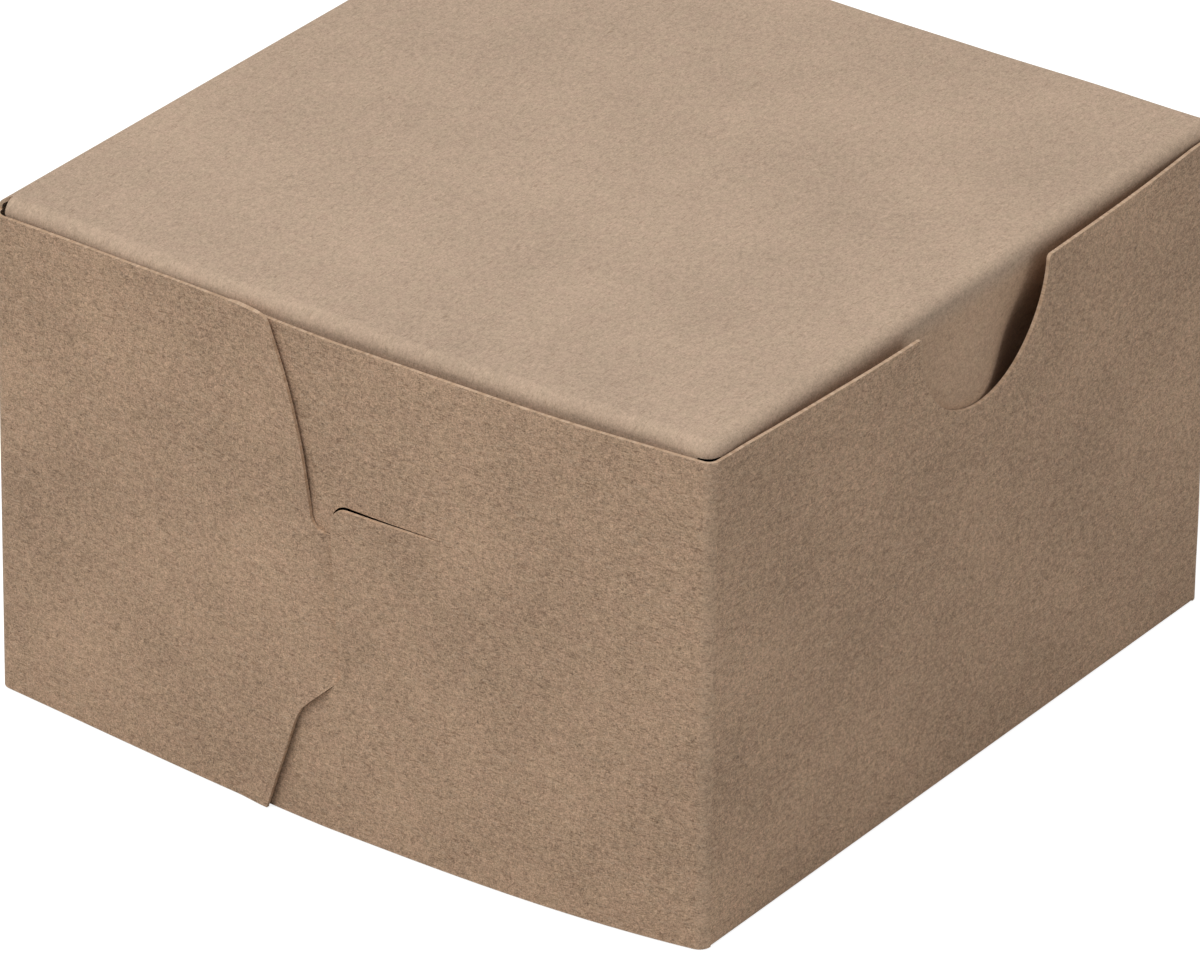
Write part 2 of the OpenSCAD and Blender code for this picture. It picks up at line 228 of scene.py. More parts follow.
lock = {
    "slitZ": 42.75, "slitEnd": -15.45,     # slit that frees the tab
    "tabLift": 0.62, "tabRadius": 2.0,     # how far the tab's corner stands out, and its rounding
    "footZ": 20.5, "footY": -1.8,          # lower end of the tab's free edge
    "tabEdge": [(20.5, -1.8), (26.9, -1.24), (38.9, -0.53), (40.7, -0.5)],   # z and y of its free edge
    "bend": (0.846, 0.534), "bendRun": 12.0, "bendMost": 1.2, "bendPower": 0.5,   # the tab's bend
    "slitGap": 0.24, "slitShares": (0.7, 0.3), "slitRate": 12,   # gap over the tab: plain and late parts
    "reach": 15.0, "backRows": [38.9, 39.7],   # how far the front flap goes back, and its lowest rows there
    "tongueTop": 38.8, "filletRadius": 2.4, "filletY": 0.2,
    "tongueTip": [(20.15, -2.2), (23, -5), (25.5, -9), (28, -11.6), (34, -12), (36.5, -11.6), (38, -10.6),
                  (38.8, -9)],             # z and y of the tongue's hidden end
    "seam": [(41.2, 2.65), (45.38, 3.22), (51.32, 4.63), (57.2, 6.86), (62.58, 9.19), (64.2, 9.95)],
    "seamBlend": (48, 7), "topRadius": 0.9,     # where the seam's curve takes over, and its upper corner
    "cut": [(0.3, 8.3), (5.76, 6.56), (9.86, 5.19), (13.4, 4.22), (14.71, 3.7), (15.7, 2.85), (20.15, -1.77)],
    "dipY": -0.53, "dipWidth": (2.2, 1.6), "dipBlend": (38, 8), "dipSlack": 0.05,   # sunk behind the tab
    "edgeLift": 0.32, "liftRun": 5, "liftAbove": (41, 4), "liftBelow": (15, 4),     # raised front edge
    "seamRise": (0.75, 0.1), "seamY": 9.5, "riseFrom": 42,    # higher top of the back flap, left and right
    "underDrop": 0.12, "underRun": 0.8,    # the hidden part of the front flap keeps this much below the cut
    "underStep": (1.04, 0.32), "underRise": (19, 2.64, 1.6),
}


# Lift of the lock tab: its distance beyond the bend line, as a share of the corner's, to a power.
def tabLift(y, z):
    beyond = (y - lock["slitEnd"]) * lock["bend"][0] + (z - lock["slitZ"]) * lock["bend"][1]
    return lock["tabLift"] * np.clip(beyond / lock["bendRun"], 0, lock["bendMost"]) ** lock["bendPower"]


# Free edge of the tab at a height: straight runs, then a quarter circle at the top corner.
def tabEdge(z):
    zs, ys = zip(*lock["tabEdge"])
    r = lock["tabRadius"]
    over = np.clip(z - (lock["slitZ"] - r), 0, r)
    return np.interp(z, zs, ys) - (r - np.sqrt(np.maximum(r * r - over * over, 0)))


# Front edge of the back flap at a height: lower cut, tongue root, fillet and long seam.
def flapEdge(z):
    cutZ, cutY = zip(*lock["cut"])
    seamZ, seamY = zip(*lock["seam"])
    r, top = lock["filletRadius"], lock["tongueTop"]
    y = np.interp(z, cutZ, cutY)
    rootZ, rootY = lock["cut"][-1]
    root = rootY + (lock["filletY"] - rootY) * (z - rootZ) / (top - rootZ)
    y = np.where(z > rootZ, root, y)
    drop = np.clip(top + r - z, 0, r)
    fillet = lock["filletY"] + np.sqrt(np.maximum(r * r - drop * drop, 0))
    y = np.where(z >= top, fillet, y)
    smooth = np.polynomial.Polynomial.fit(seamZ, seamY, 3)
    end, run = lock["seamBlend"]
    y = np.where(z > seamZ[0], smooth(z) + (seamY[0] - smooth(seamZ[0])) * ease((end - z) / run), y)
    corner = lock["topRadius"]
    over = np.clip(z - (box["sideTop"] - corner), 0, corner)
    return y + corner - np.sqrt(corner * corner - over * over)


# How far the back flap sinks at a point: full behind the tab, easing out with distance from its edge.
def flapDip(y, z):
    edgeZ = np.clip(z, lock["footZ"], lock["tongueTop"])
    edgeY = np.interp(edgeZ, (lock["footZ"], lock["tongueTop"]), (lock["footY"], lock["dipY"]))
    away = np.hypot(np.maximum(y - edgeY, 0), z - edgeZ)
    (least, more), (end, run) = lock["dipWidth"], lock["dipBlend"]
    width = least + more * ease((end - z) / run)
    full = box["layer"] + thick + lock["dipSlack"] - tabLift(np.minimum(y, edgeY), edgeZ)
    return full * ease(1 - away / width)


# How far the back flap's front edge stands away from the front flap: eased out behind the edge, and
# only above and below the tongue.
def flapLift(y, z):
    (above, aboveRun), (below, belowRun) = lock["liftAbove"], lock["liftBelow"]
    part = np.maximum(ease((z - above) / aboveRun), ease((below - z) / belowRun))
    return lock["edgeLift"] * ease(1 - (y - flapEdge(z)) / lock["liftRun"]) * part


# Height of the back flap's upper edge: a straight rise from the back corner to the seam.
def flapTop(y, side):
    rise = lock["seamRise"][0 if side < 0 else 1]
    return box["sideTop"] + rise * np.clip((straightDepth - y) / (straightDepth - lock["seamY"]), 0, 1.1)


# Rows beside the base fold, shared by the front and back flaps.
low = np.array([box["flapFoot"], (box["flapFoot"] + foldRadius) / 2, foldRadius])


def frontSheet(sheet, side):
    # Front corner flap with its slit and tab, and the corner fold; 'side' is -1 or 1.
    # X of a point = side times the bowed fold line; the fold is an arc between two tangents.
    r, slitZ, slitEnd, sideTop = lock["tabRadius"], lock["slitZ"], lock["slitEnd"], box["sideTop"]
    footZ, footY = lock["footZ"], lock["footY"]
    rows = np.concatenate([low, np.linspace(foldRadius, footZ, 18)[1:], np.linspace(footZ, slitZ - r, 18)[1:],
                           slitZ - r + r * np.sin(np.linspace(0, np.pi / 2, 9))[1:]])
    upper = np.linspace(slitZ, sideTop, 20)
    everyRow = np.concatenate([rows, upper[1:]])
    slopeSide = 3 * sideBow(everyRow, side) / straightDepth
    slopeEnd = 2 * frontBow(everyRow) / straightWidth
    cx, cy = cornerCentre(slopeSide, slopeEnd)
    turnA = np.pi + np.arctan(slopeSide)
    turnB = 1.5 * np.pi - np.arctan(slopeEnd)
    share = np.linspace(0, 1, 9)[None, :]
    angle = turnA[:, None] + (turnB - turnA)[:, None] * share
    px, py = cx[:, None] + cornerRadius * np.cos(angle), cy[:, None] + cornerRadius * np.sin(angle)
    endU = px[:, -1] - cornerRadius * (turnB - turnA)
    u = px[:, -1:] - cornerRadius * (turnB[:, None] - angle)
    z = everyRow[:, None] + 0 * angle
    sheet.add(-side * px, py, z, -side * u, z, (side, -1, 0), np.sin(np.pi * share) ** 0.5 + 0 * z)
    startY, startX = py[:, 0], px[:, 0]

    # flat part in front of the slit's end
    s = np.linspace(0, 1, 34)[None, :]
    y = startY[:, None] + (slitEnd - startY[:, None]) * s
    x = -halfWidth - sideOut(y, everyRow[:, None], side)
    x[:, 0] = startX
    z = z[:, :1] + 0 * y
    sheet.add(-side * x, y, z, -side * (endU[:, None] - (y - startY[:, None])), z, (side, 0, 0))

    # a grid of the flap behind the slit's end, lifted off the bowed line
    def place(y, z, lift):
        x = side * (halfWidth + sideOut(y, z, side) + lift)
        sheet.add(x, y, z, -side * (endU[0] - (y - startY[0])), z, (side, 0, 0))

    # tab and what is below it
    edge = np.where(rows <= footZ, footY, tabEdge(rows))[:, None]
    s = (np.linspace(0, 1, 20) ** 0.9)[None, :]
    y = slitEnd + (edge - slitEnd) * s
    z = rows[:, None] + 0 * y
    place(y, z, tabLift(y, z))

    # below the tab's foot, under the back flap: its edge keeps clear of where the back flap dips
    lowRows = rows[rows <= footZ]
    s = np.linspace(0, 1, 16)[None, :]
    y = footY + (lock["reach"] - footY) * s
    cutZ, cutY = zip(*lock["cut"])
    under = np.interp(y, cutY[::-1], cutZ[::-1]) - lock["underDrop"] * ease((y - footY) / lock["underRun"])
    (stepY, stepZ), (riseZ, riseY, riseRun) = lock["underStep"], lock["underRise"]
    top = np.where(y < footY + stepY, np.minimum(footZ, under + stepZ), under)
    top = top + (riseZ - under) * ease((y - footY - riseY) / riseRun)
    top[0, 0] = footZ
    z = low[0] + (lowRows[:, None] - low[0]) / (footZ - low[0]) * (top - low[0])
    place(y + 0 * z, z, 0)

    # above the slit: its lower edge opens quickly from the slit's end, and most at the tab's corner
    gap, (plain, late) = lock["slitGap"], lock["slitShares"]
    cornerY, cornerZ = lock["tabEdge"][-1][1] - r, slitZ - r
    s = np.linspace(0, 1, 18)[None, :]
    y = slitEnd + (cornerY - slitEnd) * s
    lower = slitZ + gap * (plain * np.minimum(s * lock["slitRate"], 1) + late * s ** 4)
    z = lower + (upper[:, None] - slitZ) / (sideTop - slitZ) * (sideTop - lower)
    place(y + 0 * z, z, 0)

    # round the tab's corner and on behind the back flap
    lower = slitZ + gap
    wide = r + gap
    backRows = np.concatenate([lock["backRows"], cornerZ + wide * np.sin(np.linspace(0, np.pi / 2, 10)),
                               lower + (upper[1:] - slitZ) / (sideTop - slitZ) * (sideTop - lower)])
    over = np.clip(backRows - cornerZ, 0, wide)
    arc = cornerY + np.sqrt(np.maximum(wide * wide - over * over, 0))
    edge = np.where(backRows >= lower - 1e-6, cornerY, arc)[:, None]
    s = (np.linspace(0, 1, 22) ** 1.3)[None, :]
    y = edge + (lock["reach"] - edge) * s
    place(y, backRows[:, None] + 0 * y, 0)
    return everyRow, px[:, -1], py[:, -1]


def backSheet(sheet, side):
    # Back corner flap with its tongue, and the corner fold; X = the bowed line plus the layer, less
    # the dip, plus the edge's lift.
    r, top, corner, sideTop = lock["filletRadius"], lock["tongueTop"], lock["topRadius"], box["sideTop"]
    rootZ = lock["cut"][-1][0]
    tongueRows = np.linspace(rootZ, top, 18)
    rows = np.concatenate([low, np.linspace(foldRadius, rootZ, 20)[1:], tongueRows[1:],
                           top + r - r * np.cos(np.linspace(0, np.pi / 2, 10))[1:],
                           np.linspace(top + r, sideTop - corner, 24)[1:],
                           sideTop - corner + corner * np.sin(np.linspace(0, np.pi / 2, 7))[1:]])
    slope = 2 * (sideBow(rows, side) + box["layer"] - sideSkew(side)) / straightDepth
    cx, cy = cornerCentre(slope, 0.0)
    turnA, turnB = (np.pi + np.arctan(slope))[:, None], 1.5 * np.pi
    share = np.linspace(0, 1, 9)[None, :]
    angle = turnA + (turnB - turnA) * share
    px, py = cx[:, None] + cornerRadius * np.cos(angle), cy[:, None] + cornerRadius * np.sin(angle)
    u = px[:, -1:] - cornerRadius * (turnB - angle)
    z = rows[:, None] + 0 * px
    sheet.add(-side * px, -py, z, -side * u, backFlat - z, (side, 1, 0), np.sin(np.pi * share) ** 0.5 + 0 * z)
    endX, endY, endU = px[:, :1], -py[:, :1], u[:, :1]

    s = (np.linspace(0, 1, 60) ** 1.3)[None, :]
    edge = flapEdge(rows)[:, None]
    y = edge + (endY - edge) * s
    row, start = rows[:, None], lock["riseFrom"]
    raised = start + (row - start) * (flapTop(y, side) - start) / (sideTop - start)
    z = np.where(row > start, raised, row + 0 * y)
    x = -halfWidth - sideOut(y, row, side) - box["layer"] + flapDip(y, row) - flapLift(y, row)
    x[:, -1], z[:, -1] = endX[:, 0], rows
    sheet.add(-side * x, y, z, -side * (endU - (endY - y)), backFlat - z, (side, 0, 0))

    # tongue behind the tab
    edge = flapEdge(tongueRows)[:, None]
    edge[-1] = lock["filletY"]
    tip = np.interp(tongueRows, *zip(*lock["tongueTip"]))[:, None]
    s = np.linspace(0, 1, 26)[None, :]
    y = tip + (edge - tip) * s
    z = tongueRows[:, None] + 0 * y
    x = -halfWidth - sideOut(y, z, side) - box["layer"] + flapDip(y, z)
    sheet.add(-side * x, y, z, -side * (endU[0] - (endY[0] - y)), backFlat - z, (side, 0, 0))
    return rows, cx


notch = {"x": -0.15, "z": 62.65, "radius": 13.05, "tip": 0.55}     # centre, radius and rounded tips
front = {"strip": 0.4, "footEdge": 51.0, "topRun": 6}     # by the corners: column, end of the base fold, rise


# Columns of the front wall and its upper edge: level, a small rounded tip, then the half-round notch.
def frontColumns(edge):
    r, tip = notch["radius"], notch["tip"]
    quarter = np.linspace(0, np.pi / 2, 6)[1:]
    plain = np.linspace(-edge, notch["x"] - r - tip, 27)
    left = np.concatenate([plain, notch["x"] - r - tip + tip * np.sin(quarter)])
    leftTop = np.concatenate([0 * plain, tip * (np.cos(quarter) - 1)])
    turn = np.linspace(0, np.pi, 57)[1:-1]
    plain = np.linspace(edge, notch["x"] + r + tip, 27)
    right = np.concatenate([plain, notch["x"] + r + tip - tip * np.sin(quarter)])[::-1]
    xs = np.concatenate([left, notch["x"] - r * np.cos(turn), right])
    drop = np.concatenate([leftTop, notch["z"] - r * np.sin(turn) - box["wallTop"], leftTop[::-1]])
    return xs, drop


# Y and Z round the hinge fold: a circle's sine and cosine from its centre.
def hingeArc(turn):
    return hinge["y"] + hinge["radius"] * np.sin(turn), hinge["z"] + hinge["radius"] * np.cos(turn)


panel = {
    "radius": 1.0, "top": 36.0, "corner": 4.0,    # the fold, the upper edge and its corners' rounding
    "inset": 1.5, "insetRun": 3, "taper": 2, "taperRun": 35, "flat": 0.57,
}


def makeBody(materials):
    sheet = Sheet("kraftBody")
    frontRows, leftX, leftY = frontSheet(sheet, -1)
    _, rightX, rightY = frontSheet(sheet, 1)
    xs, drop = frontColumns(straightWidth - front["strip"])
    floorXs = frontColumns(box["floorEdge"])[0]
    keep = frontRows >= foldRadius
    rows, leftX, leftY, rightX, rightY = (a[keep] for a in (frontRows, leftX, leftY, rightX, rightY))

    # front wall: Y = fold line less the bow at that X and height
    x = np.concatenate([leftX[:, None], np.broadcast_to(xs, (len(rows), len(xs))), -rightX[:, None]], 1)
    drop = np.concatenate([[0], drop, [0]])[None, :]
    sideTop = box["sideTop"]
    top = sideTop + (box["wallTop"] - sideTop) * ease((straightWidth - np.abs(x)) / front["topRun"]) + drop
    z = foldRadius + (rows[:, None] - foldRadius) / (sideTop - foldRadius) * (top - foldRadius)
    y = -halfDepth - frontBow(z) * (1 - (x / straightWidth) ** 2)
    y[:, 0], y[:, -1] = leftY, rightY
    z[:, 0] = z[:, -1] = rows
    sheet.add(x, y, z, x, z, (0, -1, 0))

    # base folds: quarter circles; the floor lies between them
    turn = np.linspace(np.pi / 2, 0, 8)[:, None]
    floorRow = np.concatenate([[-front["footEdge"]], floorXs, [front["footEdge"]]])[None, :]
    foldY, foldZ, step = foldRadius * np.sin(turn), foldRadius - foldRadius * np.cos(turn), box["flatStep"]
    foot = x[:1] + (floorRow - x[:1]) * (1 - turn * 2 / np.pi)
    sheet.add(foot, -floorDepth - foldY, foldZ, foot, turn * foldRadius - step, (0, -1, -1), np.sin(2 * turn))
    flX, flY = floorXs[None, :], np.linspace(-floorDepth, floorDepth, 60)[:, None]
    sheet.add(flX, flY, 0 * flX * flY, flX, -step - (flY + floorDepth), (0, 0, -1))

    backRows, backLeft = backSheet(sheet, -1)
    _, backRight = backSheet(sheet, 1)
    keep = backRows >= foldRadius
    rows, backLeft, backRight = backRows[keep], backLeft[keep], backRight[keep]
    inside = np.broadcast_to(xs, (len(rows), len(xs)))
    cols = np.concatenate([backLeft[:, None], inside, -backRight[:, None]], 1)
    foot = cols[:1] + (floorRow - cols[:1]) * (1 - turn * 2 / np.pi)
    v = backFlat + step - turn * foldRadius
    sheet.add(foot, floorDepth + foldY, foldZ, foot, v, (0, 1, -1), np.sin(2 * turn))
    z = np.concatenate([rows, [hinge["z"]]])[:, None]
    cols = np.concatenate([cols, cols[-1:]])
    sheet.add(cols, halfDepth, z, cols, backFlat - z, (0, 1, 0))

    # hinge fold's lower part: an arc that widens a little towards the lid
    turn = np.radians(np.linspace(90, hinge["bodyAngle"], 6))[:, None]
    head = cols[-1:]
    share = (90 - np.degrees(turn)) / (90 - hinge["bodyAngle"])
    x = head * (1 - share * (1 - hinge["halfWidth"] / np.where(head < 0, -head[0, 0], head[0, -1])))
    v = backFlat - hinge["z"] - hinge["radius"] * (np.pi / 2 - turn)
    sheet.add(x, *hingeArc(turn), x, v, (0, 1, 1), 1 - np.sin(turn))

    # side panels: up from the floor's sides, hidden by the corner flaps
    r, corner, edge = panel["radius"], panel["corner"], box["floorEdge"]
    shoulder = panel["top"] - corner
    turn = np.linspace(0, np.pi / 2, 7)[:, None]
    rise = np.concatenate([np.linspace(r, shoulder, 24),
                           shoulder + corner * np.sin(np.linspace(0, np.pi / 2, 8))[1:]])[:, None]
    inset = panel["inset"] * ease((rise - r) / panel["insetRun"])
    inset = inset + panel["taper"] * (rise - r) / panel["taperRun"]
    inset = inset + corner - np.sqrt(corner ** 2 - np.clip(rise - shoulder, 0, corner) ** 2)
    base = np.linspace(-floorDepth, floorDepth, 60)[None, :]
    y = base * (floorDepth - inset) / floorDepth
    for side in (-1, 1):
        sheet.add(side * (edge + r * np.sin(turn)), base, r - r * np.cos(turn), side * (edge + r * turn),
                  -step - (base + floorDepth), (side, 0, -1), np.sin(2 * turn))
        sheet.add(side * (edge + r), y, rise, side * (edge + panel["flat"] + rise), -step - (y + floorDepth),
                  (side, 0, 0))
    return sheet.make("body", materials)


lid = {
    "top": 65.1, "front": -50.75, "radius": 1.8,
    "left": (51.65, 52.75, 51.6),      # half width on the left at the front, middle and back
    "right": (52.3, 52.0, 51.0),       # and on the right
    "widthFrom": (-47, 20), "widthRun": 30,     # where each change of width starts, and how long it is
    "flapLow": 42.0,       # lower edge of tuck and dust flaps
    "tuckInset": 1.4, "tuckRadius": 9.0, "tuckRun": 12.5,
    "tuckGap": (0.15, 4.2), "gapFrom": -1, "gapRun": 16,    # least and most off the wall, and where
    "dustInset": 2.0, "dustTaper": 4.0, "dustRadius": 5.0, "dustSplay": 0.4,
    "neck": [0, 0.03, 0.06, 0.1],      # rows next to the fold, as shares of a flap's height
}


# Half width of the lid along its depth: eased from the front corner to the middle to the back.
def lidHalf(y, side):
    front, middle, back = lid["left"] if side < 0 else lid["right"]
    (first, second), run = lid["widthFrom"], lid["widthRun"]
    return front + (middle - front) * ease((y - first) / run) + (back - middle) * ease((y - second) / run)


# Inset that rounds a flap's lower corner, at a height above its edge: radius less the circle's reach.
def rounding(height, radius):
    return radius - np.sqrt(np.maximum(radius ** 2 - np.clip(radius - height, 0, radius) ** 2, 0))


def makeLid(materials):
    sheet = Sheet("kraftLid")
    r, top = lid["radius"], lid["top"]
    cornerY = lid["front"] + r
    cols = np.linspace(-1, 1, 76)[None, :]
    share = np.linspace(0, 1, 76)[:, None]
    flapLow, neck = lid["flapLow"], lid["neck"]

    # X on the lid: the column's share of the half width on its own side, less the fold's radius
    def across(y, less):
        return cols * (np.where(cols < 0, lidHalf(y, -1), lidHalf(y, 1)) - less)

    y = cornerY + share * (hinge["y"] - cornerY)
    wide = across(y, r)
    sheet.add(wide, y, top, wide, lidFlat - (hinge["y"] - y), (0, 0, 1))

    # hinge fold's upper part
    turn = np.radians(np.linspace(0, hinge["lidAngle"], 6))[:, None]
    x = wide[-1:] + (hinge["halfWidth"] * cols - wide[-1:]) * np.degrees(turn) / hinge["lidAngle"]
    sheet.add(x, *hingeArc(turn), x, lidFlat + hinge["radius"] * turn, (0, 1, 1), np.sin(turn))

    # front fold and tuck flap, which bulges like the wall in front of it and stands off on the right
    turn = np.linspace(0, np.pi / 2, 12)[:, None]
    foldZ, v0 = top - r, lidFlat - (hinge["y"] - cornerY)
    # The fold's weight peaks on its crown, where the material lightens with wear and a painted highlight
    arcZ, wearAndHighlight = foldZ + r * np.cos(turn), np.sin(turn * 2) ** 0.5
    x = across(cornerY + 0 * turn, r)
    sheet.add(x, cornerY - r * np.sin(turn), arcZ, x, v0 - r * turn, (0, -1, 1), wearAndHighlight)
    rise = np.concatenate([neck, np.linspace(0.14, 1, 40)])[:, None]
    z = foldZ - rise * (foldZ - flapLow)
    inset = lid["tuckInset"] * ease(rise / neck[-1])
    x = across(cornerY + 0 * rise, r + inset + rounding(z - flapLow, lid["tuckRadius"]))
    least, most = lid["tuckGap"]
    gap = least + (most - least) * ease((x - lid["gapFrom"]) / lid["gapRun"])
    wall = -halfDepth - frontBow(z) * (1 - (x / straightWidth) ** 2) + thick + gap
    y = lid["front"] + (wall - lid["front"]) * ease((foldZ - z) / lid["tuckRun"])
    sheet.add(x, y, z, x, v0 - r * np.pi / 2 - (foldZ - z), (0, -1, 0))

    # front corners, each an eighth of a ball, side folds and dust flaps
    for side in (-1, 1):
        phi = np.linspace(0, np.pi / 2, 12)[None, :]
        half = lidHalf(cornerY, side) - r
        x, y = half + r * np.sin(turn) * np.cos(phi), cornerY - r * np.sin(turn) * np.sin(phi)
        u, v = half + r * turn * np.cos(phi), v0 - r * turn * np.sin(phi)
        sheet.add(side * x, y, arcZ, side * u, v, (side, -1, 1), wearAndHighlight)
        y = cornerY + share.T * (hinge["y"] - cornerY)
        edge = lidHalf(y, side)
        sheet.add(side * (edge - r + r * np.sin(turn)), y, arcZ, side * (edge - r + r * turn),
                  lidFlat - (hinge["y"] - y), (side, 0, 1), wearAndHighlight)
        rise = np.concatenate([neck, np.linspace(0.14, 1, 30)])[:, None]
        z = foldZ - rise * (foldZ - flapLow)
        inset = lid["dustInset"] * ease(rise / neck[-1]) + lid["dustTaper"] * rise
        inset = inset + rounding(z - flapLow, lid["dustRadius"])
        y0, y1 = cornerY + inset, hinge["y"] - inset
        y = y0 + share.T * (y1 - y0)
        edge = lidHalf(y, side)
        sheet.add(side * (edge + lid["dustSplay"] * rise ** 1.2), y, z,
                  side * (edge - r + r * np.pi / 2 + foldZ - z), lidFlat - (hinge["y"] - y), (side, 0, 0))
    return sheet.make("lid", materials)


def makeCrease(materials):
    # Middle of the hinge fold: the arc between the body's end and the lid's.
    sheet = Sheet("hingeCrease")
    turn = np.radians(np.linspace(hinge["lidAngle"], hinge["bodyAngle"], 15))[:, None]
    x = hinge["halfWidth"] * np.linspace(-1, 1, 90)[None, :]
    sheet.add(x, *hingeArc(turn), x, lidFlat + hinge["radius"] * turn, (0, 1, 1), np.sin(turn * 2))
    piece = sheet.make(None, materials, waves=False)
    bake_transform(piece)


class Wire:
    # A socket that carries a value, with arithmetic that adds Math nodes.
    def __init__(self, graph, socket):
        self.graph, self.socket = graph, socket

    def calc(self, operation, *others):
        return self.graph.math(operation, self, *others)

    def __add__(self, other): return self.calc("ADD", other)
    def __radd__(self, other): return self.calc("ADD", other)
    def __sub__(self, other): return self.calc("SUBTRACT", other)
    def __rsub__(self, other): return self.graph.math("SUBTRACT", other, self)
    def __mul__(self, other): return self.calc("MULTIPLY", other)
    def __rmul__(self, other): return self.calc("MULTIPLY", other)
    def __truediv__(self, other): return self.calc("DIVIDE", other)
    def __rtruediv__(self, other): return self.graph.math("DIVIDE", other, self)
    def __pow__(self, other): return self.calc("POWER", other)
    def __neg__(self): return self.calc("MULTIPLY", -1.0)

    # Smooth step between two values.
    def step(self, start, end):
        curve = {"interpolation_type": "SMOOTHSTEP"}
        return self.graph.node("ShaderNodeMapRange", curve, [self, start, end, 0.0, 1.0])


class Graph:
    # A material's nodes, made one by one with their settings first and then their sockets.
    def __init__(self, name):
        self.material = bpy.data.materials.new(name)
        self.material.use_nodes = True
        self.tree = self.material.node_tree
        self.tree.nodes.clear()

    def node(self, kind, settings=None, values=(), out=0):
        made = self.tree.nodes.new(kind)
        for key, value in (settings or {}).items():
            setattr(made, key, value)
        pairs = values.items() if isinstance(values, dict) else enumerate(values)
        for key, value in pairs:
            if isinstance(value, Wire):
                self.tree.links.new(value.socket, made.inputs[key])
            elif value is not None:
                made.inputs[key].default_value = value
        return Wire(self, made.outputs[out]) if len(made.outputs) else None

    def math(self, operation, *values):
        return self.node("ShaderNodeMath", {"operation": operation}, values)

    # One colour over another by a factor.
    def mix(self, factor, first, second):
        return self.node("ShaderNodeMix", {"data_type": "RGBA"}, {0: factor, 6: first, 7: second}, 2)

    # A value stored on the mesh's points.
    def stored(self, name):
        return self.node("ShaderNodeAttribute", {"attribute_name": name}, out=2)

    # Noise about 0.5 on a mapped position, in features per millimetre.
    def noise(self, place, scale, detail=2.0, rough=0.5, warp=0.0):
        values = {"Vector": place, "Scale": scale, "Detail": detail, "Roughness": rough, "Distortion": warp}
        return self.node("ShaderNodeTexNoise", {"noise_dimensions": "3D"}, values)

    # The position turned, stretched and moved.
    def turned(self, place, angle, scale, shift=(0, 0, 0)):
        return self.node("ShaderNodeMapping", {"vector_type": "POINT"},
                         {"Vector": place, "Location": shift, "Rotation": (0, 0, angle), "Scale": scale})


# Linear colour of a screen colour given in 0 to 255: the standard curve undone.
def tone(r, g, b):
    c = np.array([r, g, b]) / 255
    c = np.where(c <= 0.04045, c / 12.92, ((c + 0.055) / 1.055) ** 2.4)
    return (*c.tolist(), 1.0)


kraft = {
    "base": tone(190, 159, 133), "face": tone(190, 159, 133),     # the panel, and what hangs below it
    "pink": tone(192, 159, 134), "green": tone(188, 160, 132),
    "dark": tone(118, 88, 64), "light": tone(218, 192, 166), "cut": tone(184, 154, 126),
    "cloud": 0.6, "mottle": 0.8, "grain": 1.4, "speck": 1.25,     # contrast of each noise
    "fibre": 0.42, "hue": 0.4, "bump": 0.00006,
    "strands": [(0.15, 0.75, 4.2), (1.25, 0.9, 4.6),      # fibres' turn, and their scale along and across
                (-0.8, 0.8, 4.0), (2.2, 0.95, 4.8)],
    "strandShift": (31.0, 17.0, 9.0),      # from one direction of fibres to the next
    "lightStrand": (0.62, 0.76), "darkStrand": (0.63, 0.77), "darkShare": 1.1, "most": 0.5,
    "hueStep": (0.34, 0.66), "layerStep": (0.35, 0.75), "layerShare": 0.55,
    # lightening on fold crowns is part wear and part painted highlight; near cuts it is edge wear
    "foldWearAndHighlight": 0.16, "rimWear": 0.05, "rimRun": 0.3, "lightenMost": 0.4, "lightenMottle": (1.4, 0.3),
    "relief": {"strand": 0.2, "grain": 0.9, "speck": 0.35, "mottle": 0.6},      # share of each in the bumps
    "rough": 0.84, "roughGrain": 0.2, "roughMottle": 0.1, "specular": 0.25,
}
# Each noise's features per millimetre, detail, roughness and warp; and its turn, scale and shift.
noises = {
    "clouds": (0.05, 3.0, 0.55), "hue": (0.42, 4.0, 0.6, 0.4), "mottle": (1.05, 3.0, 0.6, 0.5),
    "grain": (2.6, 2.0, 0.6, 0.8), "speck": (5.2, 1.0, 0.5), "strand": (1.0, 1.0, 0.5, 1.4),
    "layers": (1.0, 2.0, 0.5), "hueTurn": (0.4, (1, 1, 1), (37, 11, 5)),
    "grainTurn": (1.1, (1, 1, 1), (5, 23, 2)), "layersTurn": (0.0, (1.4, 1.4, 9.0)),
}
# The lid's panel shows the board's smoother side: the same pulp with a quieter grain, under a painted sheen.
lidKraftSheen = {
    # base: the panel's paler, greyer tone is painted sheen from the light above
    **kraft, "base": tone(185, 164, 145), "cloud": 0.36, "mottle": 0.42, "grain": 0.76, "speck": 0.62,
    "fibre": 0.26, "hue": 0.36, "bump": 0.00003,
}
